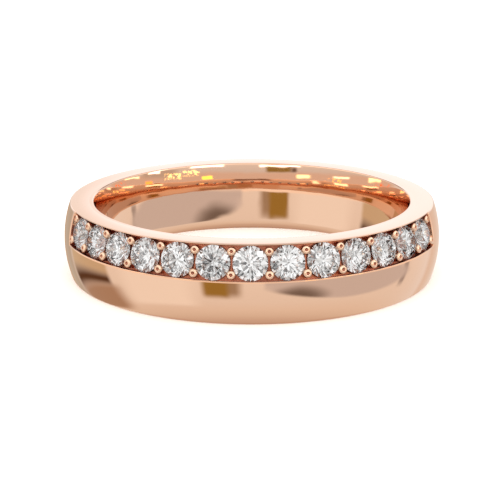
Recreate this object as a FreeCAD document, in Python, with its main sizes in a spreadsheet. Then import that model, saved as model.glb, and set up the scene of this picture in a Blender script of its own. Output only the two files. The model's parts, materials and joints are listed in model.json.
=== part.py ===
import FreeCAD, Part
import math
import os

import Sketcher
from FreeCAD import Placement, Rotation, Vector

# A diamond wedding band. It lies on one flat side: the finger hole runs along Z, the origin is at the
# middle of the ring on its lower side face, and the row of diamonds looks towards -Y.
# Lengths are in millimetres and angles in degrees.
SIZES = {
    # band section: domed outside, comfort-fit inside with a short straight land at mid-width
    "band_width": 4.0,
    "outer_radius": 10.112,
    "rim_radius": 9.754,
    "bore_radius": 8.255,
    "bore_edge_radius": 8.52,
    "bore_land": 1.2,
    "outer_edge_round": 0.12,
    "bore_edge_round": 0.08,
    # the row of stones: how many, how far apart, and where each one's girdle is held
    "stone_count": 13,
    "stone_pitch": 10.656,
    "stone_tilt": 14.5,
    "stone_reach": 9.72,
    "stone_height": 3.07,
    # the channel that the row is sunk in
    "channel_width": 1.74,
    "floor_depth": 0.24,
    "end_margin": 0.5,
    "cutter_reach": 1.0,
    # the seat under each stone and the light hole drilled behind it
    "seat_angle": 42.0,
    "seat_clearance": 0.012,
    "azure_radius": 0.3,
    "azure_depth": 2.0,
    # the beads that hold the stones, and the web that joins the two beads of a pair
    "bead_radius": 0.225,
    "bead_spread": 0.567,
    "bead_rise": 0.21,
    "bead_chamfer": 0.09,
    "bead_crest": 0.045,
    "bead_dimple": 0.06,
    "web_width": 0.09,
    "web_drop": 0.06,
    # round brilliant cut, as shares of the girdle's diameter
    "stone_radius": 0.85,
    "table_share": 0.57,
    "girdle_share": 0.03,
    "star_share": 0.5,
    "lower_half_share": 0.77,
    "crown_angle": 34.5,
    "pavilion_angle": 40.8,
}
# the way the middle of the row faces
ROW_AZIMUTH = -90.0
# eight main facets go round a stone, and the other facets lie half a step or a quarter step from them
MAIN_FACETS = 8
HALF_STEP = 180.0 / MAIN_FACETS
QUARTER_STEP = HALF_STEP / 2


def slope(angle):
    return math.tan(math.radians(angle))


def share(angle):
    return math.cos(math.radians(angle))


def arc_radius(half_chord, sagitta):
    return (half_chord ** 2 + sagitta ** 2) / (2 * sagitta)


def add_section_sizes(sizes):
    """The dome's arc spans the whole width; each comfort-fit arc starts along the straight land."""
    half_width = sizes["band_width"] / 2
    sizes["dome_arc"] = arc_radius(half_width, sizes["outer_radius"] - sizes["rim_radius"])
    comfort_length = half_width - sizes["bore_land"] / 2
    sizes["comfort_arc"] = arc_radius(comfort_length, sizes["bore_edge_radius"] - sizes["bore_radius"])


def add_facet_sizes(sizes):
    """Each facet's plane falls at a slope from a chord of the girdle; all follow from the proportions."""
    radius = sizes["stone_radius"]
    main_slope = slope(sizes["crown_angle"])
    pavilion_slope = slope(sizes["pavilion_angle"])
    half_chord = radius * share(QUARTER_STEP)
    table_corner = radius * sizes["table_share"]
    table_edge = table_corner * share(HALF_STEP)
    crown_height = (radius - table_corner) * main_slope
    star_tip = table_edge + sizes["star_share"] * (radius - table_edge)
    star_tip_height = (radius - star_tip * share(HALF_STEP)) * main_slope
    star_slope = (crown_height - star_tip_height) / (star_tip - table_edge)
    lower_tip = (1 - sizes["lower_half_share"]) * radius
    lower_tip_depth = (radius - lower_tip * share(HALF_STEP)) * pavilion_slope
    sizes["crown_height"] = crown_height
    sizes["girdle_height"] = 2 * radius * sizes["girdle_share"]
    sizes["pavilion_depth"] = radius * pavilion_slope
    sizes["main_chord"] = radius
    sizes["main_slope"] = main_slope
    sizes["star_chord"] = star_tip + star_tip_height / star_slope
    sizes["star_slope"] = star_slope
    sizes["upper_chord"] = half_chord
    sizes["upper_slope"] = star_tip_height / (half_chord - star_tip * share(QUARTER_STEP))
    sizes["pavilion_chord"] = radius
    sizes["pavilion_slope"] = pavilion_slope
    sizes["lower_chord"] = half_chord
    sizes["lower_slope"] = lower_tip_depth / (half_chord - lower_tip * share(QUARTER_STEP))


def fill_sheet(doc, sizes):
    sheet = doc.addObject("Spreadsheet::Sheet", "Sizes")
    for row, (alias, size) in enumerate(sizes.items(), start=1):
        sheet.set(f"A{row}", alias)
        sheet.set(f"B{row}", f"{size:.8f}")
        sheet.setAlias(f"B{row}", alias)
    doc.recompute()


def new_body(doc, label):
    body = doc.addObject("PartDesign::Body", label)
    body.Label = label
    return body


def origin_feature(body, role):
    return next(part for part in body.Origin.OriginFeatures if part.Role == role)


def turned_plane(body, name, azimuth):
    """An upright plane through the Z axis, turned to an azimuth that is given as an expression."""
    plane = body.newObject("PartDesign::Plane", name)
    plane.AttachmentSupport = [(origin_feature(body, "XZ_Plane"), "")]
    plane.MapMode = "FlatFace"
    plane.AttachmentOffset = Placement(Vector(), Rotation(Vector(0, 1, 0), 1))
    plane.setExpression("AttachmentOffset.Rotation.Angle", azimuth)
    return plane


def new_sketch(body, name, plane):
    sketch = body.newObject("Sketcher::SketchObject", name)
    sketch.AttachmentSupport = [(plane, "")]
    sketch.MapMode = "FlatFace"
    return sketch


def lean_sketch(sketch, across="0"):
    """Lean a sketch with the stones: its origin is the middle of a girdle, or across the channel from it."""
    lean = "Sizes.stone_tilt * 1 deg"
    sketch.AttachmentOffset = Placement(Vector(), Rotation(Vector(0, 0, 1), 1))
    sketch.setExpression("AttachmentOffset.Rotation.Angle", "Sizes.stone_tilt")
    sketch.setExpression("AttachmentOffset.Base.x", f"Sizes.stone_reach - ({across}) * sin({lean})")
    sketch.setExpression("AttachmentOffset.Base.y", f"Sizes.stone_height + ({across}) * cos({lean})")


def hold_start(sketch, side, corner):
    """Hold the start of a side at two expressions, measured from the sketch's origin."""
    for kind, axis, place in zip(("DistanceX", "DistanceY"), (-2, -1), corner):
        if place == "0":
            sketch.addConstraint(Sketcher.Constraint("PointOnObject", side, 1, axis))
        else:
            length = float(sketch.evalExpression(place))
            held = sketch.addConstraint(Sketcher.Constraint(kind, -1, 1, side, 1, length))
            sketch.setExpression(f"Constraints[{held}]", place)


def bowed_side(start, end, radius):
    """An arc from start to end that bows out to the right of the way from one to the other."""
    chord = end - start
    sagitta = radius - math.sqrt(radius ** 2 - (chord.Length / 2) ** 2)
    outward = Vector(chord.y, -chord.x).normalize()
    return Part.Arc(start, (start + end) / 2 + outward * sagitta, end)


def draw_outline(sketch, corners, arcs=None):
    """A closed outline. Corners are pairs of expressions, and arcs gives the radius of each bowed side."""
    arcs = arcs or {}
    spots = [Vector(*(float(sketch.evalExpression(place)) for place in corner)) for corner in corners]
    for side, (start, end) in enumerate(zip(spots, spots[1:] + spots[:1])):
        if side in arcs:
            radius = float(sketch.evalExpression(arcs[side]))
            sketch.addGeometry(bowed_side(start, end, radius))
        else:
            sketch.addGeometry(Part.LineSegment(start, end))
    for side, corner in enumerate(corners):
        before = (side - 1) % len(corners)
        sketch.addConstraint(Sketcher.Constraint("Coincident", before, 2, side, 1))
        hold_start(sketch, side, corner)
    for side, radius in arcs.items():
        length = float(sketch.evalExpression(radius))
        held = sketch.addConstraint(Sketcher.Constraint("Radius", side, length))
        sketch.setExpression(f"Constraints[{held}]", radius)


def revolve(body, kind, name, sketch, axis):
    feature = body.newObject(f"PartDesign::{kind}", name)
    feature.Profile = sketch
    feature.ReferenceAxis = axis
    feature.Angle = 360
    return feature


def repeat_round(body, feature, spacing, count):
    """Repeat a feature about the Z axis and make the pattern the body's tip."""
    body.Document.recompute()
    pattern = body.newObject("PartDesign::PolarPattern", f"{feature.Name}Row")
    pattern.Originals = [feature]
    pattern.Axis = (origin_feature(body, "Z_Axis"), [""])
    pattern.Mode = "Spacing"
    pattern.setExpression("Offset", spacing)
    pattern.setExpression("Occurrences", count)
    body.Tip = pattern
    body.Document.recompute()


def round_edges(body, name, radius, size):
    """Round both of the body's full-circle edges of one radius."""
    base = body.Tip
    edges = []
    for number, edge in enumerate(base.Shape.Edges, start=1):
        if isinstance(edge.Curve, Part.Circle) and math.isclose(edge.Curve.Radius, radius, abs_tol=1e-6):
            edges.append(f"Edge{number}")
    rounded = body.newObject("PartDesign::Fillet", name)
    rounded.Base = (base, edges)
    rounded.setExpression("Radius", size)
    body.Document.recompute()


def add_ring(band, sizes):
    """Flat sides, a domed outside, and a comfort-fit inside with a straight land at mid-width."""
    middle = "Sizes.band_width / 2"
    corners = [
        ("Sizes.bore_edge_radius", "0"),
        ("Sizes.rim_radius", "0"),
        ("Sizes.rim_radius", "Sizes.band_width"),
        ("Sizes.bore_edge_radius", "Sizes.band_width"),
        ("Sizes.bore_radius", f"{middle} + Sizes.bore_land / 2"),
        ("Sizes.bore_radius", f"{middle} - Sizes.bore_land / 2"),
    ]
    section = new_sketch(band, "RingSection", origin_feature(band, "XZ_Plane"))
    draw_outline(section, corners, {1: "Sizes.dome_arc", 3: "Sizes.comfort_arc", 5: "Sizes.comfort_arc"})
    revolve(band, "Revolution", "Ring", section, (section, ["V_Axis"]))
    band.Document.recompute()
    round_edges(band, "OuterEdges", sizes["rim_radius"], "Sizes.outer_edge_round")
    round_edges(band, "BoreEdges", sizes["bore_edge_radius"], "Sizes.bore_edge_round")


def add_channel(band):
    """A channel round the front, square to the stones, just past the beads at both ends of the row."""
    half_width = "Sizes.channel_width / 2"
    corners = [
        ("-Sizes.floor_depth", f"-{half_width}"),
        ("Sizes.cutter_reach", f"-{half_width}"),
        ("Sizes.cutter_reach", half_width),
        ("-Sizes.floor_depth", half_width),
    ]
    section = new_sketch(band, "ChannelSection", origin_feature(band, "XZ_Plane"))
    lean_sketch(section)
    draw_outline(section, corners)
    channel = revolve(band, "Groove", "Channel", section, (origin_feature(band, "Z_Axis"), [""]))
    channel.Midplane = True
    channel.setExpression("Angle", "Sizes.stone_count * Sizes.stone_pitch + 2 * Sizes.end_margin")
    band.Document.recompute()


def add_beads(band, plane, name, across):
    """One bead per pair: a round post with a bevelled, dimpled end."""
    corners = [
        ("-Sizes.floor_depth - Sizes.bead_dimple", "0"),
        ("Sizes.bead_rise - Sizes.bead_dimple", "0"),
        ("Sizes.bead_rise", "Sizes.bead_radius - Sizes.bead_chamfer - Sizes.bead_crest"),
        ("Sizes.bead_rise", "Sizes.bead_radius - Sizes.bead_chamfer"),
        ("Sizes.bead_rise - Sizes.bead_chamfer", "Sizes.bead_radius"),
        ("-Sizes.floor_depth - Sizes.bead_dimple", "Sizes.bead_radius"),
    ]
    section = new_sketch(band, f"{name}Section", plane)
    lean_sketch(section, across)
    draw_outline(section, corners)
    bead = revolve(band, "Revolution", name, section, (section, ["H_Axis"]))
    repeat_round(band, bead, "Sizes.stone_pitch", "Sizes.stone_count + 1")


def add_webs(band, plane):
    """A thin upright bar from the upper bead to the lower bead of each pair."""
    corners = [
        ("-Sizes.floor_depth - Sizes.web_drop", "-Sizes.bead_spread"),
        ("-Sizes.web_drop", "-Sizes.bead_spread"),
        ("-Sizes.web_drop", "Sizes.bead_spread"),
        ("-Sizes.floor_depth - Sizes.web_drop", "Sizes.bead_spread"),
    ]
    section = new_sketch(band, "WebSection", plane)
    lean_sketch(section)
    draw_outline(section, corners)
    web = band.newObject("PartDesign::Pad", "Web")
    web.Profile = section
    web.SideType = "Symmetric"
    web.setExpression("Length", "Sizes.web_width")
    repeat_round(band, web, "Sizes.stone_pitch", "Sizes.stone_count + 1")


def add_seats(band, plane):
    """A cone under each girdle, relief for the girdle and the crown's foot, and a light hole to the bore."""
    girdle = "Sizes.stone_radius + Sizes.seat_clearance"
    foot = "Sizes.girdle_height / 2 + Sizes.seat_clearance"
    fall = "tan(Sizes.seat_angle * 1 deg)"
    corners = [
        ("-Sizes.azure_depth", "0"),
        ("Sizes.cutter_reach", "0"),
        (f"{foot} + Sizes.bead_rise", f"{girdle} - Sizes.bead_rise / {fall}"),
        (foot, girdle),
        (f"-({foot})", girdle),
        (f"-({foot}) - ({girdle} - Sizes.azure_radius) * {fall}", "Sizes.azure_radius"),
        ("-Sizes.azure_depth", "Sizes.azure_radius"),
    ]
    section = new_sketch(band, "SeatSection", plane)
    lean_sketch(section)
    draw_outline(section, corners)
    seat = revolve(band, "Groove", "Seat", section, (section, ["H_Axis"]))
    repeat_round(band, seat, "Sizes.stone_pitch", "Sizes.stone_count")


def build_band(doc, sizes):
    """The one-piece gold band: ring, channel, beads, webs, seats and light holes."""
    band = new_body(doc, "band")
    add_ring(band, sizes)
    whole = band.Shape.Volume
    add_channel(band)
    first_pair = "-Sizes.stone_pitch * Sizes.stone_count / 2"
    pair_plane = turned_plane(band, "FirstPairPlane", first_pair)
    add_beads(band, pair_plane, "UpperBead", "Sizes.bead_spread")
    add_beads(band, pair_plane, "LowerBead", "-Sizes.bead_spread")
    add_webs(band, pair_plane)
    filled = band.Shape.Volume
    first_seat = "-Sizes.stone_pitch * (Sizes.stone_count - 1) / 2"
    seat_plane = turned_plane(band, "FirstSeatPlane", first_seat)
    add_seats(band, seat_plane)
    assert band.Shape.Volume < filled < whole, "the channel or the seats cut nothing"
    band.Placement = Placement(Vector(), Rotation(Vector(0, 0, 1), ROW_AZIMUTH))
    return band


def add_blank(stone):
    """A plain disc from the culet's level to the table's level."""
    blank = stone.newObject("PartDesign::AdditiveCylinder", "Blank")
    blank.setExpression("Radius", "Sizes.stone_radius")
    blank.setExpression("Height", "Sizes.crown_height + Sizes.girdle_height + Sizes.pavilion_depth")
    blank.AttachmentSupport = [(origin_feature(stone, "XY_Plane"), "")]
    blank.MapMode = "FlatFace"
    blank.setExpression("AttachmentOffset.Base.z", "-Sizes.girdle_height / 2 - Sizes.pavilion_depth")


def cut_facets(stone, name, side, azimuth, count):
    """Cut one ring of flat facets: side is 1 on the crown and -1 on the pavilion."""
    base = "Sizes.girdle_height / 2"
    outside = "2 * Sizes.stone_radius"
    chord = f"Sizes.{name}_chord"
    fall = f"Sizes.{name}_slope"
    peak = f"{side} * ({base} + {chord} * {fall})"
    corners = [
        ("0", peak),
        (outside, f"{side} * ({base} + ({chord} - {outside}) * {fall})"),
        (outside, peak),
    ]
    plane = turned_plane(stone, f"{name}_plane", str(azimuth))
    section = new_sketch(stone, f"{name}_section", plane)
    draw_outline(section, corners)
    facet = stone.newObject("PartDesign::Pocket", f"{name}_facet")
    facet.Profile = section
    facet.Type = "ThroughAll"
    facet.SideType = "Symmetric"
    before = stone.Shape.Volume
    repeat_round(stone, facet, f"360 / {count}", str(count))
    assert stone.Shape.Volume < before, f"the {name} facets cut nothing"


def build_diamond(doc, label, azimuth, sizes):
    """A round brilliant: table, 8 crown mains, 8 stars, 16 upper halves, 8 pavilion mains, 16 lower halves."""
    stone = new_body(doc, label)
    add_blank(stone)
    doc.recompute()
    cut_facets(stone, "main", 1, 0, MAIN_FACETS)
    cut_facets(stone, "star", 1, HALF_STEP, MAIN_FACETS)
    cut_facets(stone, "upper", 1, QUARTER_STEP, 2 * MAIN_FACETS)
    cut_facets(stone, "pavilion", -1, 0, MAIN_FACETS)
    cut_facets(stone, "lower", -1, QUARTER_STEP, 2 * MAIN_FACETS)
    facing = Rotation(Vector(0, 0, 1), azimuth)
    lean = Rotation(Vector(0, 1, 0), 90 - sizes["stone_tilt"])
    girdle_middle = Vector(sizes["stone_reach"], 0, sizes["stone_height"])
    stone.Placement = Placement(facing.multVec(girdle_middle), facing * lean)
    return stone


def build_diamonds(doc, sizes):
    """The row of stones, from the -X end to the +X end."""
    stones = []
    count = int(sizes["stone_count"])
    for number in range(count):
        azimuth = ROW_AZIMUTH + (number - (count - 1) / 2) * sizes["stone_pitch"]
        stones.append(build_diamond(doc, f"diamond_{number + 1:02d}", azimuth, sizes))
    return stones


def check_document(doc, parts):
    doc.recompute()
    for item in doc.Objects:
        assert not {"Invalid", "Error"} & set(item.State), f"{item.Label} did not recompute"
    for part in parts:
        assert not part.Shape.isNull(), f"{part.Label} has no shape"
        assert part.Shape.isValid(), f"{part.Label} is not valid"
        assert len(part.Shape.Solids) == 1, f"{part.Label} is not one solid"


def build_parts():
    sizes = dict(SIZES)
    add_section_sizes(sizes)
    add_facet_sizes(sizes)
    doc = FreeCAD.newDocument("WeddingBand")
    fill_sheet(doc, sizes)
    parts = [build_band(doc, sizes)] + build_diamonds(doc, sizes)
    check_document(doc, parts)
    return parts


def main():
    parts = build_parts()
    os.makedirs("parts", exist_ok=True)
    for part in parts:
        part.Shape.exportStep(f"parts/{part.Label}.step")
        print(part.Label, round(part.Shape.Volume, 4), "mm3")


main()
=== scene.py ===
import json
import math

import bmesh
import bpy
from mathutils import Matrix, Vector


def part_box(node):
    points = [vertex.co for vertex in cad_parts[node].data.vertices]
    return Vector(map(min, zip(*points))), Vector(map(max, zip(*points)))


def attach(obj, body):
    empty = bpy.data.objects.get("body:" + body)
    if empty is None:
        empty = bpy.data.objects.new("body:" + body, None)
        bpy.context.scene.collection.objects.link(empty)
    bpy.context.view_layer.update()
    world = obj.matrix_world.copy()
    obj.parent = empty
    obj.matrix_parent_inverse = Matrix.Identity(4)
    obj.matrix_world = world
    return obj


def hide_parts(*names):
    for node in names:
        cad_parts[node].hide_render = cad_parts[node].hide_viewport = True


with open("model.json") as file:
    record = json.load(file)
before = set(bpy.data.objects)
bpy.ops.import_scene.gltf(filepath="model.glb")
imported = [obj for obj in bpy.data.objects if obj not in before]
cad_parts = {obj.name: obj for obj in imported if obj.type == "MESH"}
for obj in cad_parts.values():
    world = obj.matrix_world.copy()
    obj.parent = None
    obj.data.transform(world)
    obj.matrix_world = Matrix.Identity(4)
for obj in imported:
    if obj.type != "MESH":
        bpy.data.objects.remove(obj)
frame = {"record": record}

scene = bpy.context.scene
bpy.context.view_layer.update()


# ---- the band -------------------------------------------------------------------------------------------
# One casting in 18 ct rose gold: domed outside, flat on both sides, and comfort-fit inside, where it is
# narrowest a little above mid-width. It is turned and polished to a mirror, and then a channel for the
# stones is milled round the front of the upper half.
MM = 0.001
SAME_POINT = 1e-4 * MM
band_low, band_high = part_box("band")
BAND_WIDTH = band_high.z - band_low.z
OUTER_RADIUS = (band_high.x - band_low.x) / 2
BORE_RADIUS = frame["record"]["mounts"][0]["dims"]["r_mm"] * MM
RIM_RADIUS = OUTER_RADIUS - 0.358 * MM
BORE_EDGE_RADIUS = BORE_RADIUS + 0.265 * MM
UPPER_COMFORT_START = 2.227 * MM
LOWER_COMFORT_START = 2.07 * MM
LOWER_COMFORT_END = 0.6 * MM
LOWER_COMFORT_RADIUS = 12.0 * MM
OUTER_ROUND = 0.12 * MM
BORE_ROUND = 0.08 * MM
LOWER_EDGE_SHARE = 0.7
STONE_COUNT = 13
STONE_PITCH = math.radians(10.656)
STONE_TILT = math.radians(14.5)
GIRDLE_REACH = 9.72 * MM
GIRDLE_HEIGHT = 3.07 * MM
CHANNEL_WIDTH = 1.74 * MM
CHANNEL_DEPTH = 0.24 * MM
CHANNEL_SPARE = math.radians(1.0)
CHANNEL_SPAN = STONE_COUNT * STONE_PITCH + CHANNEL_SPARE
LIP_ROUND = 0.045 * MM
CASTING_GRAIN_AND_GLINT = MM / 9
DRILL_GRAIN = MM / 6
BUFFING_HAZE = MM / 0.9
HAND_POLISH_SPACING = MM / 0.42
HAND_POLISH_SWELL = 0.02 * MM
HAND_POLISH_FADE = 0.2 * MM
FRONT_STEPS = 182
BACK_STEPS = 286
FRONT = math.radians(-90)
out_of_row = Vector((math.cos(STONE_TILT), 0, math.sin(STONE_TILT)))
across_row = Vector((-math.sin(STONE_TILT), 0, math.cos(STONE_TILT)))
girdle_middle = Vector((GIRDLE_REACH, 0, GIRDLE_HEIGHT))


def linear_colour(code, alpha=1.0):
    """A hex sRGB colour as the linear values that a shader takes."""
    shares = [int(code[i:i + 2], 16) / 255 for i in (1, 3, 5)]
    return [c / 12.92 if c <= 0.04045 else ((c + 0.055) / 1.055) ** 2.4 for c in shares] + [alpha]


def add_node(tree, kind, settings=None, inputs=None):
    """A node with its settings and its inputs, each a value or another node's output socket."""
    node = tree.nodes.new(kind)
    for name, value in (settings or {}).items():
        setattr(node, name, value)
    for name, value in (inputs or {}).items():
        if isinstance(value, bpy.types.NodeSocket):
            tree.links.new(value, node.inputs[name])
        else:
            node.inputs[name].default_value = value
    return node


def new_material(name):
    """An empty material and its output node."""
    material = bpy.data.materials.new(name)
    material.use_nodes = True
    material.node_tree.nodes.clear()
    return material, material.node_tree.nodes.new("ShaderNodeOutputMaterial")


def new_piece(name, bm, *materials):
    """A mesh object at the origin from a bmesh."""
    mesh = bpy.data.meshes.new(name)
    bm.to_mesh(mesh)
    bm.free()
    for material in materials:
        mesh.materials.append(material)
    piece = bpy.data.objects.new(name, mesh)
    scene.collection.objects.link(piece)
    return piece


def circle_hit(centre, radius, offset):
    """Where a line along the stones' direction, this far across it, leaves a circle of the section."""
    return centre + out_of_row * math.sqrt(radius ** 2 - offset ** 2) + across_row * offset


def arc_on(bm, vertex, centre, goal, steps):
    """Carry the outline on along an arc about a centre, from a vertex to a goal."""
    start = vertex.co - centre
    end = goal - centre
    turn = math.atan2(start.z * end.x - start.x * end.z, start.dot(end))
    made = bmesh.ops.spin(bm, geom=[vertex], cent=centre, axis=(0, 1, 0), angle=turn, steps=steps)
    last = made["geom_last"][0]
    last.co = goal
    return last


def line_on(bm, vertex, goal):
    """Carry the outline on in a straight line."""
    last = bm.verts.new(goal)
    bm.edges.new((vertex, last))
    return last


def shaded_recess_gold_material():
    """The same gold where no polishing wheel reaches: dull, and painted darker and redder than the polished
    gold, as painted shade and painted reflections of its walls.
    """
    material, output = new_material("unpolished rose gold with painted shade")
    tree = material.node_tree
    place = add_node(tree, "ShaderNodeTexCoord").outputs["Object"]
    # the real grain is too fine to see, so it is drawn at 0.11 mm, and its light and dark specks are partly
    # painted reflections
    grain = add_node(tree, "ShaderNodeTexNoise", inputs={
        "Vector": place, "Scale": 1 / CASTING_GRAIN_AND_GLINT, "Detail": 2.0})
    # both tones are darker than the gold's own colour: painted shade of the recess
    tone = add_node(tree, "ShaderNodeMix", {"data_type": "RGBA"}, {
        0: grain.outputs["Fac"], 6: linear_colour("#7C4234"), 7: linear_colour("#BE7C62")})
    shader = add_node(tree, "ShaderNodeBsdfPrincipled", inputs={
        "Base Color": tone.outputs[2], "Metallic": 1.0, "Roughness": 0.28})
    tree.links.new(shader.outputs["BSDF"], output.inputs["Surface"])
    return material


def rose_gold_material():
    """Polished 18 ct rose gold: a mirror with a copper-pink body and the faint haze of a buffing wheel."""
    material, output = new_material("polished rose gold")
    tree = material.node_tree
    place = add_node(tree, "ShaderNodeTexCoord").outputs["Object"]
    haze = add_node(tree, "ShaderNodeTexNoise", inputs={
        "Vector": place, "Scale": 1 / BUFFING_HAZE, "Detail": 3.0})
    gloss = add_node(tree, "ShaderNodeMapRange", inputs={
        "Value": haze.outputs["Fac"], "From Min": 0.3, "From Max": 0.7, "To Min": 0.03, "To Max": 0.07})
    # the inside is polished by hand, which leaves it uneven every 2.4 mm or so and bends what it mirrors
    along = add_node(tree, "ShaderNodeSeparateXYZ", inputs={"Vector": place})
    level = add_node(tree, "ShaderNodeCombineXYZ", inputs={"X": along.outputs["X"], "Y": along.outputs["Y"]})
    reach = add_node(tree, "ShaderNodeVectorMath", {"operation": "LENGTH"}, {0: level.outputs["Vector"]})
    inside = add_node(tree, "ShaderNodeMapRange", inputs={
        "Value": reach.outputs["Value"], "From Min": BORE_EDGE_RADIUS + HAND_POLISH_FADE,
        "From Max": BORE_EDGE_RADIUS})
    swell = add_node(tree, "ShaderNodeTexNoise", inputs={
        "Vector": place, "Scale": 1 / HAND_POLISH_SPACING, "Detail": 2.0})
    unevenness = add_node(tree, "ShaderNodeMath", {"operation": "MULTIPLY"}, {
        0: swell.outputs["Fac"], 1: inside.outputs["Result"]})
    bump = add_node(tree, "ShaderNodeBump", inputs={
        "Strength": 1.0, "Distance": HAND_POLISH_SWELL, "Height": unevenness.outputs["Value"]})
    shader = add_node(tree, "ShaderNodeBsdfPrincipled", inputs={
        "Base Color": linear_colour("#E8BD9F"), "Metallic": 1.0, "Roughness": gloss.outputs["Result"],
        "Normal": bump.outputs["Normal"]})
    tree.links.new(shader.outputs["BSDF"], output.inputs["Surface"])
    return material


def seat_metal_material():
    """Rhodium-flashed gold inside a seat, bright and colourless, so the stone above it stays white."""
    material, output = new_material("rhodium-flashed seat")
    tree = material.node_tree
    place = add_node(tree, "ShaderNodeTexCoord").outputs["Object"]
    # the drill's marks are too fine to see, so they are drawn at 0.17 mm
    grain = add_node(tree, "ShaderNodeTexNoise", inputs={
        "Vector": place, "Scale": 1 / DRILL_GRAIN, "Detail": 2.0})
    tone = add_node(tree, "ShaderNodeMix", {"data_type": "RGBA"}, {
        0: grain.outputs["Fac"], 6: linear_colour("#D6D2CE"), 7: linear_colour("#ECEAE8")})
    shader = add_node(tree, "ShaderNodeBsdfPrincipled", inputs={
        "Base Color": tone.outputs[2], "Metallic": 1.0, "Roughness": 0.22})
    tree.links.new(shader.outputs["BSDF"], output.inputs["Surface"])
    return material


rose_gold = rose_gold_material()
shaded_recess_gold = shaded_recess_gold_material()
seat_metal = seat_metal_material()

half_width = BAND_WIDTH / 2
dome_rise = OUTER_RADIUS - RIM_RADIUS
dome_radius = (half_width ** 2 + dome_rise ** 2) / (2 * dome_rise)
dome_centre = Vector((OUTER_RADIUS - dome_radius, 0, half_width))
comfort_length = BAND_WIDTH - UPPER_COMFORT_START
comfort_rise = BORE_EDGE_RADIUS - BORE_RADIUS
comfort_radius = (comfort_length ** 2 + comfort_rise ** 2) / (2 * comfort_rise)
outer_round_out = math.sqrt((dome_radius - OUTER_ROUND) ** 2 - (half_width - OUTER_ROUND) ** 2)
bore_round_in = math.sqrt((comfort_radius - BORE_ROUND) ** 2 - (comfort_length - BORE_ROUND) ** 2)

outline = bmesh.new()
upper_comfort = Vector((BORE_RADIUS + comfort_radius, 0, UPPER_COMFORT_START))
lower_comfort = Vector((BORE_RADIUS + LOWER_COMFORT_RADIUS, 0, LOWER_COMFORT_START))
lower_turn = math.asin((LOWER_COMFORT_START - LOWER_COMFORT_END) / LOWER_COMFORT_RADIUS)
into_metal = Vector((math.cos(lower_turn), 0, math.sin(lower_turn)))
lower_end = lower_comfort - into_metal * LOWER_COMFORT_RADIUS
upper_bore_round = Vector((upper_comfort.x - bore_round_in, 0, BAND_WIDTH - BORE_ROUND))
upper_outer_round = Vector((dome_centre.x + outer_round_out, 0, BAND_WIDTH - OUTER_ROUND))


def mirrored(point):
    """The same point of the section on the other side of mid-width."""
    return Vector((point.x, 0, BAND_WIDTH - point.z))


comfort_end = upper_comfort + (upper_bore_round - upper_comfort).normalized() * comfort_radius
dome_end = dome_centre + (upper_outer_round - dome_centre).normalized() * dome_radius
bore_flat = Vector((upper_bore_round.x, 0, BAND_WIDTH))
lower_flat_end = Vector((upper_bore_round.x - BORE_ROUND * LOWER_EDGE_SHARE, 0,
                         BORE_ROUND * (1 - LOWER_EDGE_SHARE)))
to_edge = lower_flat_end - lower_end
edge_comfort = lower_end + into_metal * (to_edge.length_squared / (2 * to_edge.dot(into_metal)))
rim_flat = Vector((upper_outer_round.x, 0, BAND_WIDTH))
channel_middle = girdle_middle.dot(across_row)
lip_offset = CHANNEL_WIDTH / 2
upper_lip = circle_hit(upper_outer_round, OUTER_ROUND,
                       channel_middle + lip_offset - upper_outer_round.dot(across_row))
lower_lip = circle_hit(dome_centre, dome_radius, channel_middle - lip_offset - dome_centre.dot(across_row))

first = outline.verts.new((BORE_RADIUS, 0, LOWER_COMFORT_START))
tip = line_on(outline, first, Vector((BORE_RADIUS, 0, UPPER_COMFORT_START)))
tip = arc_on(outline, tip, upper_comfort, comfort_end, steps=18)
tip = arc_on(outline, tip, upper_bore_round, bore_flat, steps=5)
tip = line_on(outline, tip, rim_flat)
tip = arc_on(outline, tip, upper_outer_round, upper_lip, steps=4)
tip = arc_on(outline, tip, upper_outer_round, dome_end, steps=4)
tip = arc_on(outline, tip, dome_centre, lower_lip, steps=16)
tip = arc_on(outline, tip, dome_centre, mirrored(dome_end), steps=24)
tip = arc_on(outline, tip, mirrored(upper_outer_round), mirrored(rim_flat), steps=6)
tip = line_on(outline, tip, mirrored(bore_flat))
tip = arc_on(outline, tip, mirrored(upper_bore_round), lower_flat_end, steps=4)
tip = arc_on(outline, tip, edge_comfort, lower_end, steps=8)
tip = arc_on(outline, tip, lower_comfort, first.co.copy(), steps=12)
bmesh.ops.remove_doubles(outline, verts=outline.verts[:], dist=SAME_POINT)
bmesh.ops.rotate(outline, verts=outline.verts[:], matrix=Matrix.Rotation(FRONT - CHANNEL_SPAN / 2, 3, "Z"))

section = outline.edges[:] + outline.verts[:]
swept = bmesh.ops.spin(outline, geom=section, axis=(0, 0, 1), angle=CHANNEL_SPAN, steps=FRONT_STEPS)
front_faces = outline.faces[:]
bmesh.ops.spin(outline, geom=swept["geom_last"], axis=(0, 0, 1), angle=math.tau - CHANNEL_SPAN,
               steps=BACK_STEPS)


def in_channel(face):
    """True for the dome's faces between the two lips."""
    middle = face.calc_center_median()
    flat = Vector((math.hypot(middle.x, middle.y), 0, middle.z))
    beyond_girdle = flat.dot(out_of_row) > girdle_middle.dot(out_of_row)
    return beyond_girdle and abs(flat.dot(across_row) - channel_middle) < lip_offset


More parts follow.
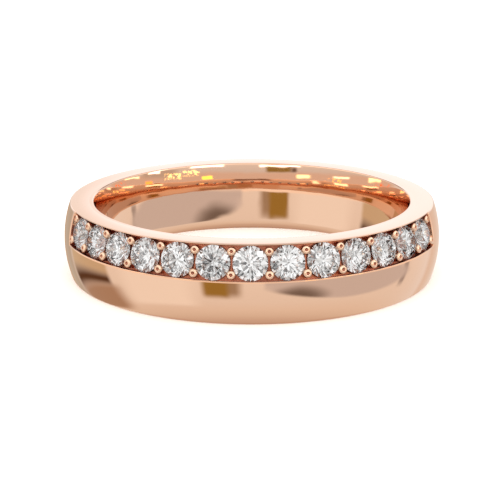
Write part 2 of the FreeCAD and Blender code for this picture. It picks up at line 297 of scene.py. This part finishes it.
channel_faces = [face for face in front_faces if in_channel(face)]
bmesh.ops.remove_doubles(outline, verts=outline.verts[:], dist=SAME_POINT)
bmesh.ops.recalc_face_normals(outline, faces=outline.faces[:])
channel_set = set(channel_faces)
lips = [edge for edge in outline.edges if len(channel_set.intersection(edge.link_faces)) == 1]
sunk = bmesh.ops.extrude_face_region(outline, geom=channel_faces)
floor_level = girdle_middle.dot(out_of_row) - CHANNEL_DEPTH
for vertex in (item for item in sunk["geom"] if isinstance(item, bmesh.types.BMVert)):
    azimuth = math.atan2(vertex.co.y, vertex.co.x)
    flat = Vector((math.hypot(vertex.co.x, vertex.co.y), 0, vertex.co.z))
    flat -= out_of_row * (flat.dot(out_of_row) - floor_level)
    vertex.co = Matrix.Rotation(azimuth, 3, "Z") @ flat
bmesh.ops.delete(outline, geom=channel_faces, context="FACES")
bmesh.ops.recalc_face_normals(outline, faces=outline.faces[:])
bmesh.ops.bevel(outline, geom=lips, offset=LIP_ROUND, affect="EDGES", segments=3, profile=0.5, material=-1,
                clamp_overlap=False)

# each stone's seat is a cone drilled to the girdle's size, with a light hole on through the wall behind it
SEAT_RADIUS = 0.862 * MM
SEAT_ANGLE = math.radians(42)
GIRDLE_THICKNESS = 0.051 * MM
AZURE_RADIUS = 0.3 * MM
AZURE_DEPTH = 2.0 * MM
DRILL_CLEARANCE = 0.6 * MM
SEAT_SEGMENTS = 64
BRIGHT_DEPTH = 1.3 * MM
BRIGHT_MARGIN = 0.02 * MM


def stone_place(number):
    """The matrix from a stone's own frame, girdle at the origin and table up, to its place in the row."""
    azimuth = FRONT + (number - (STONE_COUNT - 1) / 2) * STONE_PITCH
    lean = Matrix.Rotation(math.radians(90) - STONE_TILT, 4, "Y")
    return Matrix.Rotation(azimuth, 4, "Z") @ Matrix.Translation(girdle_middle) @ lean


def turn_outline(bm, points, place, steps):
    """Turn an outline of (reach, height) points full round its axis, and move what it makes to its place."""
    corners = [bm.verts.new((reach, 0, height)) for reach, height in points]
    edges = [bm.edges.new(ends) for ends in zip(corners, corners[1:])]
    bmesh.ops.spin(bm, geom=corners + edges, axis=(0, 0, 1), angle=math.tau, steps=steps, use_merge=True)
    made = {vertex for face in bm.faces if not face.tag for vertex in face.verts}
    for face in bm.faces:
        face.tag = True
    bmesh.ops.transform(bm, verts=list(made), matrix=place)


seats = bmesh.new()
girdle_foot = -GIRDLE_THICKNESS / 2
cone_foot = girdle_foot - (SEAT_RADIUS - AZURE_RADIUS) * math.tan(SEAT_ANGLE)
drill = [(0.0, DRILL_CLEARANCE), (SEAT_RADIUS, DRILL_CLEARANCE), (SEAT_RADIUS, girdle_foot),
         (AZURE_RADIUS, cone_foot), (AZURE_RADIUS, -AZURE_DEPTH), (0.0, -AZURE_DEPTH)]
for number in range(STONE_COUNT):
    turn_outline(seats, drill, stone_place(number), SEAT_SEGMENTS)
bmesh.ops.remove_doubles(seats, verts=seats.verts[:], dist=SAME_POINT)
bmesh.ops.recalc_face_normals(seats, faces=seats.faces[:])
cutter = new_piece("seat_cutter", seats)

blank = new_piece("band_blank", outline)
drilled = blank.modifiers.new("seats", "BOOLEAN")
drilled.operation = "DIFFERENCE"
drilled.solver = "EXACT"
drilled.object = cutter
bpy.context.view_layer.update()
finished = bmesh.new()
finished.from_object(blank, bpy.context.evaluated_depsgraph_get())
for spare in (blank, cutter):
    bpy.data.objects.remove(spare)


def smooth_piece(piece, angle):
    """Smooth shading, broken at the edges that turn by more than an angle in degrees."""
    for face in piece.data.polygons:
        face.use_smooth = True
    piece.data.set_sharp_from_angle(angle=math.radians(angle))


# the channel's floor and walls stay unpolished up to the rounded lips, in a darker gold whose tone is painted
# shade, and the cones are flashed bright
lip_level = lower_lip.dot(out_of_row) - 1.5 * LIP_ROUND
floor_depth = CHANNEL_DEPTH * 1.01
for face in finished.faces:
    middle = face.calc_center_median()
    from_front = math.remainder(math.atan2(middle.y, middle.x) - FRONT, math.tau)
    flat = Vector((math.hypot(middle.x, middle.y), 0, middle.z))
    depth_below_girdle = girdle_middle.dot(out_of_row) - flat.dot(out_of_row)
    beside = abs(flat.dot(across_row) - channel_middle)
    if abs(from_front) > CHANNEL_SPAN / 2 or flat.dot(out_of_row) > lip_level:
        continue
    nearest = round(from_front / STONE_PITCH + (STONE_COUNT - 1) / 2)
    in_seat = stone_place(nearest).inverted() @ middle
    cone_reach = max(SEAT_RADIUS + in_seat.z / math.tan(SEAT_ANGLE), AZURE_RADIUS) + BRIGHT_MARGIN
    if floor_depth < depth_below_girdle < BRIGHT_DEPTH and math.hypot(in_seat.x, in_seat.y) < cone_reach:
        face.material_index = 2
    elif depth_below_girdle < floor_depth and beside < lip_offset + LIP_ROUND / 4:
        face.material_index = 1
band = new_piece("band_gold", finished, rose_gold, shaded_recess_gold, seat_metal)
smooth_piece(band, 30)
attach(band, "root")
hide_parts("band")


# ---- beads and webs ------------------------------------------------------------------------------------
# Small posts of the band's own gold, raised between the stones and pushed over their girdles. A cupped
# punch rounds each one's end and leaves a dimple in it. A thin web joins the two beads of a pair.
BEAD_RADIUS = 0.225 * MM
BEAD_SPREAD = 0.567 * MM
BEAD_RISE = 0.21 * MM
BEAD_SEGMENTS = 32
DIMPLE_RADIUS = 0.08 * MM
DIMPLE_DEPTH = 0.065 * MM
DIMPLE_SHAPE = [(1.0, 0.12), (0.82, 0.55), (0.5, 0.88), (0.0, 1.0)]
SHOULDER_HEIGHT = 0.12 * MM
SHOULDER_GAP = 0.01 * MM
SHOULDER_STEPS = 7
BEAD_ROOT = 0.03 * MM
WEB_WIDTH = 0.09 * MM
WEB_DROP = 0.06 * MM
PUNCH_GRAIN = MM / 12
shoulder = BEAD_RADIUS - DIMPLE_RADIUS * 1.2
bead_side = [(BEAD_RADIUS, -CHANNEL_DEPTH - BEAD_ROOT),
             (BEAD_RADIUS, BEAD_RISE - SHOULDER_HEIGHT - SHOULDER_GAP)]
shoulder_angles = [math.radians(90 * step / SHOULDER_STEPS) for step in range(1, SHOULDER_STEPS + 1)]
bead_top = [(BEAD_RADIUS - shoulder * (1 - math.cos(angle)),
             BEAD_RISE - SHOULDER_HEIGHT * (1 - math.sin(angle))) for angle in shoulder_angles]
bead_cup = [(DIMPLE_RADIUS * reach, BEAD_RISE - DIMPLE_DEPTH * depth) for reach, depth in DIMPLE_SHAPE]


def bead_gold_painted_highlight_material():
    """The same gold pressed smooth by the punch: softer than the buffed band, and painted paler as a painted
    highlight on the beads.
    """
    material, output = new_material("burnished rose gold, painted paler")
    tree = material.node_tree
    place = add_node(tree, "ShaderNodeTexCoord").outputs["Object"]
    # the punch's marks are too fine to see, so they are drawn at 0.08 mm
    grain = add_node(tree, "ShaderNodeTexNoise", inputs={
        "Vector": place, "Scale": 1 / PUNCH_GRAIN, "Detail": 2.0})
    gloss = add_node(tree, "ShaderNodeMapRange", inputs={
        "Value": grain.outputs["Fac"], "From Min": 0.3, "From Max": 0.7, "To Min": 0.22, "To Max": 0.36})
    # the base colour is paler than the band's gold: a painted highlight on the beads
    shader = add_node(tree, "ShaderNodeBsdfPrincipled", inputs={
        "Base Color": linear_colour("#EBC6AA"), "Metallic": 1.0, "Roughness": gloss.outputs["Result"]})
    tree.links.new(shader.outputs["BSDF"], output.inputs["Surface"])
    return material


bead_gold_painted_highlight = bead_gold_painted_highlight_material()
beads = bmesh.new()
web_size = Matrix.Diagonal((2 * BEAD_SPREAD, WEB_WIDTH, CHANNEL_DEPTH, 1.0))
web_lift = Matrix.Translation((0, 0, -WEB_DROP - CHANNEL_DEPTH / 2))
for pair in range(STONE_COUNT + 1):
    place = stone_place(pair - 0.5)
    for side in (-1, 1):
        across = Matrix.Translation((-side * BEAD_SPREAD, 0, 0))
        turn_outline(beads, bead_side + bead_top + bead_cup, place @ across, BEAD_SEGMENTS)
    web = bmesh.ops.create_cube(beads, size=1.0)["verts"]
    bmesh.ops.transform(beads, verts=web, matrix=place @ web_lift @ web_size)
    for face in beads.faces:
        face.tag = True
bmesh.ops.remove_doubles(beads, verts=beads.verts[:], dist=SAME_POINT)
bmesh.ops.recalc_face_normals(beads, faces=beads.faces[:])
# the dimples and the webs take the darker recess gold: painted shade in the cups and between the stones
for face in beads.faces:
    middle = face.calc_center_median()
    azimuth = math.atan2(middle.y, middle.x)
    nearest = round((azimuth - FRONT) / STONE_PITCH + STONE_COUNT / 2)
    local = stone_place(nearest - 0.5).inverted() @ middle
    from_post = math.hypot(abs(local.x) - BEAD_SPREAD, local.y)
    in_cup = from_post < DIMPLE_RADIUS and local.z > 0
    face.material_index = 1 if in_cup or from_post > BEAD_RADIUS * 1.02 else 0
bead_piece = new_piece("beads_gold", beads, bead_gold_painted_highlight, shaded_recess_gold)
smooth_piece(bead_piece, 40)
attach(bead_piece, "root")


# ---- diamonds ------------------------------------------------------------------------------------------
# Thirteen round brilliants of 1.7 mm. Each is ground flat by flat on a disc-shaped blank: a table, a crown
# of mains, stars and upper halves, a thin round girdle, and a pavilion of mains and lower halves.
STONE_RADIUS = 0.85 * MM
TABLE_SHARE = 0.57
STAR_SHARE = 0.5
LOWER_HALF_SHARE = 0.77
CROWN_SLOPE = math.tan(math.radians(34.5))
PAVILION_SLOPE = math.tan(math.radians(40.8))
MAIN_FACETS = 8
HALF_STEP = math.pi / MAIN_FACETS
QUARTER_STEP = HALF_STEP / 2
GIRDLE_SEGMENTS = 128
BRUTED_GRAIN = 0.05 * MM
DIAMOND_IOR = 2.417

table_corner = STONE_RADIUS * TABLE_SHARE
table_edge = table_corner * math.cos(HALF_STEP)
crown_height = (STONE_RADIUS - table_corner) * CROWN_SLOPE
star_tip = table_edge + STAR_SHARE * (STONE_RADIUS - table_edge)
star_tip_height = (STONE_RADIUS - star_tip * math.cos(HALF_STEP)) * CROWN_SLOPE
star_slope = (crown_height - star_tip_height) / (star_tip - table_edge)
half_chord = STONE_RADIUS * math.cos(QUARTER_STEP)
upper_slope = star_tip_height / (half_chord - star_tip * math.cos(QUARTER_STEP))
lower_tip = (1 - LOWER_HALF_SHARE) * STONE_RADIUS
lower_tip_depth = (STONE_RADIUS - lower_tip * math.cos(HALF_STEP)) * PAVILION_SLOPE
lower_slope = lower_tip_depth / (half_chord - lower_tip * math.cos(QUARTER_STEP))
# crown mains, stars and upper halves, then pavilion mains and lower halves: side, count, first, chord, slope
FACETS = [
    (1, MAIN_FACETS, 0.0, STONE_RADIUS, CROWN_SLOPE),
    (1, MAIN_FACETS, HALF_STEP, star_tip + star_tip_height / star_slope, star_slope),
    (1, 2 * MAIN_FACETS, QUARTER_STEP, half_chord, upper_slope),
    (-1, MAIN_FACETS, 0.0, STONE_RADIUS, PAVILION_SLOPE),
    (-1, 2 * MAIN_FACETS, QUARTER_STEP, half_chord, lower_slope),
]


def grind(bm, side, azimuth, chord, slope):
    """Cut a flat facet that slopes away from a chord of the girdle, on the crown (1) or pavilion (-1)."""
    steep = math.atan(slope)
    normal = Vector((math.sin(steep) * math.cos(azimuth), math.sin(steep) * math.sin(azimuth),
                     side * math.cos(steep)))
    point = Vector((chord * math.cos(azimuth), chord * math.sin(azimuth), side * GIRDLE_THICKNESS / 2))
    cut = bmesh.ops.bisect_plane(bm, geom=bm.verts[:] + bm.edges[:] + bm.faces[:], dist=1e-6 * MM,
                                 plane_co=point, plane_no=normal, clear_outer=True)
    edges = [item for item in cut["geom_cut"] if isinstance(item, bmesh.types.BMEdge)]
    bmesh.ops.holes_fill(bm, edges=edges)


def ground_brilliant():
    """One stone in its own frame, in metres, with its girdle's middle at the origin."""
    bm = bmesh.new()
    depth = crown_height + GIRDLE_THICKNESS + STONE_RADIUS * PAVILION_SLOPE
    middle = crown_height + GIRDLE_THICKNESS / 2 - depth / 2
    bmesh.ops.create_cone(bm, cap_ends=True, segments=GIRDLE_SEGMENTS, radius1=STONE_RADIUS,
                          radius2=STONE_RADIUS, depth=depth, matrix=Matrix.Translation((0, 0, middle)))
    for side, count, first, chord, slope in FACETS:
        for number in range(count):
            grind(bm, side, first + number * math.tau / count, chord, slope)
    bmesh.ops.remove_doubles(bm, verts=bm.verts[:], dist=1e-5 * MM)
    bmesh.ops.recalc_face_normals(bm, faces=bm.faces[:])
    return bm


def diamond_material():
    """Polished diamond: clear and colourless, bending light far more than glass does."""
    material, output = new_material("polished diamond")
    tree = material.node_tree
    shader = add_node(tree, "ShaderNodeBsdfPrincipled", inputs={
        "Base Color": linear_colour("#FFFFFF"), "Roughness": 0.0, "IOR": DIAMOND_IOR,
        "Transmission Weight": 1.0})
    tree.links.new(shader.outputs["BSDF"], output.inputs["Surface"])
    return material


def girdle_material():
    """The bruted girdle: the same diamond left frosted round its edge."""
    material, output = new_material("bruted diamond girdle")
    tree = material.node_tree
    place = add_node(tree, "ShaderNodeTexCoord").outputs["Object"]
    # the grit's scratches are too fine to see, so they are drawn at 0.05 mm
    grain = add_node(tree, "ShaderNodeTexNoise", inputs={
        "Vector": place, "Scale": 1 / BRUTED_GRAIN, "Detail": 2.0})
    frost = add_node(tree, "ShaderNodeMapRange", inputs={
        "Value": grain.outputs["Fac"], "To Min": 0.25, "To Max": 0.6})
    shader = add_node(tree, "ShaderNodeBsdfPrincipled", inputs={
        "Base Color": linear_colour("#F6F6F6"), "Roughness": frost.outputs["Result"], "IOR": DIAMOND_IOR,
        "Transmission Weight": 1.0})
    tree.links.new(shader.outputs["BSDF"], output.inputs["Surface"])
    return material


polished_diamond = diamond_material()
bruted_diamond = girdle_material()
brilliant = ground_brilliant()
for face in brilliant.faces:
    face.material_index = 1 if abs(face.normal.z) < 0.1 else 0
# a setter doesn't line the facets up, so each stone is turned in its seat from the last
SETTING_TURN = math.radians(17)
for number in range(STONE_COUNT):
    name = f"diamond_{number + 1:02d}"
    stone_bm = brilliant.copy()
    turn = Matrix.Rotation((number - (STONE_COUNT - 1) / 2) * SETTING_TURN, 4, "Z")
    bmesh.ops.transform(stone_bm, verts=stone_bm.verts[:], matrix=stone_place(number) @ turn)
    stone = new_piece(f"{name}_brilliant", stone_bm, polished_diamond, bruted_diamond)
    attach(stone, "root")
    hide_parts(name)
brilliant.free()


# ---- floor ----------------------------------------------------------------------------------------------
# A plain matt white sweep, which takes the soft contact shadow. The polished gold and the stones see only
# the room round them, and not the floor.
FLOOR_HALF_WIDTH = 2.0


def pale_floor_material():
    """Matt white card."""
    material, output = new_material("pale floor")
    tree = material.node_tree
    shader = add_node(tree, "ShaderNodeBsdfPrincipled", inputs={
        "Base Color": linear_colour("#F3F1EF"), "Roughness": 0.9, "Specular IOR Level": 0.0})
    tree.links.new(shader.outputs["BSDF"], output.inputs["Surface"])
    return material


floor_bm = bmesh.new()
bmesh.ops.create_grid(floor_bm, x_segments=1, y_segments=1, size=FLOOR_HALF_WIDTH)
floor = new_piece("floor", floor_bm, pale_floor_material())
floor.visible_glossy = False
floor.visible_transmission = False


# ---- studio light ---------------------------------------------------------------------------------------
# A white room with soft light from all round. Matt surfaces get plain white light, and the stones see grey
# and white clutter. Gold mirrors softboxes, screens and drapes, each given as two spans in degrees, round
# from the camera and above the horizon, with the softness of its edges.
ROOM_STRENGTH = 1.7
PLAIN_STRENGTH = 1.6
GEM_STRENGTH = 1.2
ROOM_LEVELS = [
    (-90, "#8C7A6F"), (-54, "#B1A69F"), (-48, "#BDB8B2"), (-42, "#C4C1BD"), (-33, "#C7C8C8"),
    (-12, "#CBCDCE"), (0, "#C8CCD0"), (12, "#B9BCC0"), (22, "#C4C7CA"), (32, "#DEDEDE"), (40, "#FAFAFA"),
    (62, "#FAFAFA"), (74, "#D0D0D0"), (90, "#BEBEBE")]
SCREEN_CLOTH = "#AFB1B7"
SCREENS = [
    ("bench", (-141, -97, 5), (-21, -9, 8), "#AEA48E"),
    ("bench edge", (-141, -97, 6), (-26.5, -20, 6), "#4C3626"),
    ("bench shade", (-142, -92, 18), (-42, -26, 6), "#938070"),
    ("white wall", (-84, -36, 16), (-38, -9, 5), "#D2D6D8"),
    ("left shade", (-160, -142, 8), (-38, 0, 8), "#9E988C"),
    ("left haze", (-190, -158, 8), (-30, 0, 8), "#A08A72"),
    ("right haze", (138, 190, 10), (-32, 0, 8), "#BFB3A8"),
    ("drape fold", (-17, -6.5, 7), (-27, -9, 10), "#8C7E6C"),
    ("warm wall", (-130, 130, 12), (0, 11, 5), "#BDAEA6"),
    ("lower drape", (-29, -13.5, 5), (-28, -9, 7), "#856E36"),
    ("upper drape", (-30, -11, 4), (11.5, 30, 3), "#7D6A36"),
    ("upper drape fold", (-35, -30, 4), (11.5, 16, 3), "#5E5048"),
    ("sill", (-130, 130, 12), (-11.6, 1, 1.5), "#DCD4CC"),
    ("right cupboard", (62, 92, 8), (8, 19, 5), "#A8A29C"),
    ("grey screen side", (8, 40, 3), (-18, -9, 9), SCREEN_CLOTH),
    ("grey screen end", (104, 109, 3), (-26, -12, 6), "#8A898C"),
    ("back wall right", (152, 190, 10), (20.5, 60, 4), "#7E7878"),
    ("back wall left", (-190, -152, 10), (20.5, 60, 4), "#7E7878"),
    ("back window", (150, 190, 4), (8, 19, 4), "#E9ECF5"),
    ("back window left", (-190, -150, 4), (8, 19, 4), "#E9ECF5"),
    ("back window post", (-174, -160, 5), (2, 20, 6), "#D2D2D2"),
]
# round-cornered: the middle and half size round the room, the same above the horizon, and the softness
GREY_SCREEN = ((60, 50), (-19, 12.5), 0.35)
GREY_SCREEN_FOLD = ((29, 17), (-28, 9.5), 1.8)
FOLD_SHADE = "#645E5B"
CORNER_POWER = 1.6
WINDOWS = [
    ("upper left", (23, 49, 3), (17.8, 29, 2), "#FFFFFF", 2.4),
    ("upper right", (-38, -5, 3), (17.8, 24, 2), "#FFFFFF", 2.4),
    ("far left", (76, 86, 2), (12.5, 40, 2), "#FFFFFF", 2.2),
    ("left corner", (95, 111, 3), (8, 11, 2), "#FFF6D0", 2.0),
    ("left lamp", (31, 39, 1), (4, 7.5, 1), "#FFD860", 2.0),
    ("left corner lamp", (83, 89, 2), (2.6, 5, 1.5), "#FFA850", 1.6),
    ("right lamp", (-46, -35, 3), (5.5, 8.5, 2), "#FFF2C0", 1.9),
    ("right door", (-80, -65, 3), (7.2, 8.8, 1.5), "#FFF6E0", 1.7),
    ("right corner", (-112, -99, 3), (5.5, 10, 2), "#FFF2C0", 1.9),
]
SPARKLES = [
    ("chandelier", (42, 58, 4), (9, 14, 3), "#FFE8A0", 2.4),
    ("chandelier arm", (56, 71, 4), (6, 11, 3), "#FFE8A0", 2.4),
    ("left candles", (112, 124, 4), (2, 5.5, 2), "#F07838", 1.2),
    ("right candles", (-72, -57, 4), (2.5, 6.5, 2), "#FFB860", 2.0),
    ("far candles", (-124, -108, 4), (1.5, 4, 2), "#F07838", 1.1),
]
SPARKLE_GRAIN = [(0.52, "#000000"), (0.56, "#FFFFFF")]
SPARKLE_SCALE = 30.0
# buffed gold isn't quite true, so whatever it mirrors above the horizon wavers by a few degrees
WAVER_SCALE = 7.0
ROUND_WAVER = 4.0
RISE_WAVER = 1.6
GEM_CLUTTER_SCALE = 2.4
GEM_LEVELS = [(0.36, "#141414"), (0.43, "#868585"), (0.52, "#CDCBC8"), (0.6, "#FFFFFF")]
world = bpy.data.worlds.new("studio room")
scene.world = world
world.use_nodes = True
room = world.node_tree
room.nodes.clear()


def room_sum(operation, first, second=0.0):
    """One arithmetic step on numbers or sockets."""
    return add_node(room, "ShaderNodeMath", {"operation": operation}, {0: first, 1: second}).outputs[0]


def room_span(value, low, high, soft):
    """1 between two limits, falling softly to 0 over a width centred on each."""
    away = room_sum("ABSOLUTE", room_sum("SUBTRACT", value, (low + high) / 2))
    half = (high - low) / 2
    return add_node(room, "ShaderNodeMapRange", {"interpolation_type": "SMOOTHSTEP"}, {
        "Value": away, "From Min": half - soft / 2, "From Max": half + soft / 2,
        "To Min": 1.0, "To Max": 0.0}).outputs["Result"]


def room_paint(label, under, mask, over):
    """A colour, or another node's, laid over what is already there, through a mask."""
    mix = add_node(room, "ShaderNodeMix", {"data_type": "RGBA", "label": label}, {0: mask, 6: under, 7: over})
    return mix.outputs[2]


def room_ramp(value, levels):
    """A ramp of colours over a value from 0 to 1."""
    ramp = add_node(room, "ShaderNodeValToRGB", inputs={"Fac": value})
    stops = ramp.color_ramp.elements
    stops.remove(stops[1])
    for number, (place, code) in enumerate(levels):
        stop = stops[0] if number == 0 else stops.new(place)
        stop.position = place
        stop.color = linear_colour(code)
    return ramp.outputs["Color"]


def room_window(around, rise):
    """The mask of a panel between two angles round the room and two above the horizon."""
    return room_sum("MULTIPLY", room_span(round_angle, *around), room_span(rise_angle, *rise))


def room_share(value, middle, half):
    """How far a value is from a middle, as a share of the half size, raised to the corners' power."""
    share = room_sum("ABSOLUTE", room_sum("DIVIDE", room_sum("SUBTRACT", value, middle), half))
    return room_sum("POWER", share, CORNER_POWER)


def room_round(around, rise, soft):
    """The mask of a round-cornered panel about a middle, with its half width and half height."""
    reach = room_sum("ADD", room_share(round_angle, *around), room_share(rise_angle, *rise))
    return room_span(reach, -1, 1, soft)


def glare(code, gain):
    """A colour brighter than white."""
    return [share * gain for share in linear_colour(code)[:3]] + [1.0]


direction = add_node(room, "ShaderNodeTexCoord").outputs["Generated"]
along = add_node(room, "ShaderNodeSeparateXYZ", inputs={"Vector": direction})
toward_camera = room_sum("MULTIPLY", along.outputs["Y"], -1.0)
waver = add_node(room, "ShaderNodeTexNoise", inputs={
    "Vector": direction, "Scale": WAVER_SCALE, "Detail": 1.5})
ripple = add_node(room, "ShaderNodeSeparateColor", inputs={"Color": waver.outputs["Color"]})
upper_room = add_node(room, "ShaderNodeMapRange", inputs={
    "Value": along.outputs["Z"], "From Min": 0.0, "From Max": 0.1}).outputs["Result"]
round_waver = room_sum("MULTIPLY", room_sum("SUBTRACT", ripple.outputs["Red"], 0.5), ROUND_WAVER)
rise_waver = room_sum("MULTIPLY", room_sum("SUBTRACT", ripple.outputs["Green"], 0.5), RISE_WAVER)
round_waver = room_sum("MULTIPLY", round_waver, upper_room)
rise_waver = room_sum("MULTIPLY", rise_waver, upper_room)
round_angle = room_sum("DEGREES", room_sum("ARCTAN2", along.outputs["X"], toward_camera))
round_angle = room_sum("ADD", round_angle, round_waver)
rise_angle = room_sum("ADD", room_sum("DEGREES", room_sum("ARCSINE", along.outputs["Z"])), rise_waver)
level = room_sum("DIVIDE", room_sum("ADD", rise_angle, 90.0), 180.0)
colour = room_ramp(level, [((rise + 90) / 180, code) for rise, code in ROOM_LEVELS])
for label, around, rise, code in SCREENS:
    colour = room_paint(label, colour, room_window(around, rise), linear_colour(code))
cloth = room_paint("grey screen fold", linear_colour(SCREEN_CLOTH), room_round(*GREY_SCREEN_FOLD),
                   linear_colour(FOLD_SHADE))
colour = room_paint("grey screen", colour, room_round(*GREY_SCREEN), cloth)
for label, around, rise, code, gain in WINDOWS:
    colour = room_paint(label, colour, room_window(around, rise), glare(code, gain))
specks = add_node(room, "ShaderNodeTexNoise", inputs={
    "Vector": direction, "Scale": SPARKLE_SCALE, "Detail": 1.0})
sparkle = room_ramp(specks.outputs["Fac"], SPARKLE_GRAIN)
for label, around, rise, code, gain in SPARKLES:
    mask = room_sum("MULTIPLY", room_window(around, rise), sparkle)
    colour = room_paint(label, colour, mask, glare(code, gain))

# gold mirrors the patterned room, stones see the clutter, and the camera and matt surfaces get plain white
path = add_node(room, "ShaderNodeLightPath")
mirrored_ray = path.outputs["Is Glossy Ray"]
plain = add_node(room, "ShaderNodeBackground", inputs={
    "Color": linear_colour("#FFFFFF"), "Strength": PLAIN_STRENGTH})
patterned = add_node(room, "ShaderNodeBackground", inputs={"Color": colour, "Strength": ROOM_STRENGTH})
either = add_node(room, "ShaderNodeMixShader", inputs={
    0: mirrored_ray, 1: plain.outputs["Background"], 2: patterned.outputs["Background"]})
clutter = add_node(room, "ShaderNodeTexNoise", inputs={
    "Vector": direction, "Scale": GEM_CLUTTER_SCALE, "Detail": 1.0})
gem_room = add_node(room, "ShaderNodeBackground", inputs={
    "Color": room_ramp(clutter.outputs["Fac"], GEM_LEVELS), "Strength": GEM_STRENGTH})
gem_ray = room_sum("MAXIMUM", path.outputs["Is Transmission Ray"], path.outputs["Is Singular Ray"])
gem_ray = room_sum("SUBTRACT", gem_ray, path.outputs["Is Camera Ray"])
lit = add_node(room, "ShaderNodeMixShader", inputs={
    0: gem_ray, 1: either.outputs["Shader"], 2: gem_room.outputs["Background"]})
add_node(room, "ShaderNodeOutputWorld", inputs={"Surface": lit.outputs["Shader"]})
scene.view_settings.view_transform = "Standard"
# light turns many times inside a stone before it leaves
scene.cycles.max_bounces = 32
scene.cycles.glossy_bounces = 12
scene.cycles.transmission_bounces = 32
scene.cycles.blur_glossy = 0.0


# ---- camera ---------------------------------------------------------------------------------------------
# A long lens close to the ring, looking down on it a little from straight in front of the middle stone.
# Depth of field is off, so the whole ring is sharp.
LENS_LENGTH = 104.2
SENSOR_WIDTH = 36.0
CAMERA_PLACE = Vector((-0.0996 * MM, -76.06 * MM, 22.43 * MM))
CAMERA_DOWN = math.radians(15.73)
ROW_TURN = math.radians(0.496)
camera_data = bpy.data.cameras.new("camera")
camera = bpy.data.objects.new("camera", camera_data)
scene.collection.objects.link(camera)
scene.camera = camera
camera_data.lens = LENS_LENGTH
camera_data.sensor_width = SENSOR_WIDTH
camera_data.clip_start = MM
camera_data.clip_end = 10.0
camera.location = Matrix.Rotation(ROW_TURN, 3, "Z") @ CAMERA_PLACE
camera.rotation_euler = (math.radians(90) - CAMERA_DOWN, 0, ROW_TURN)
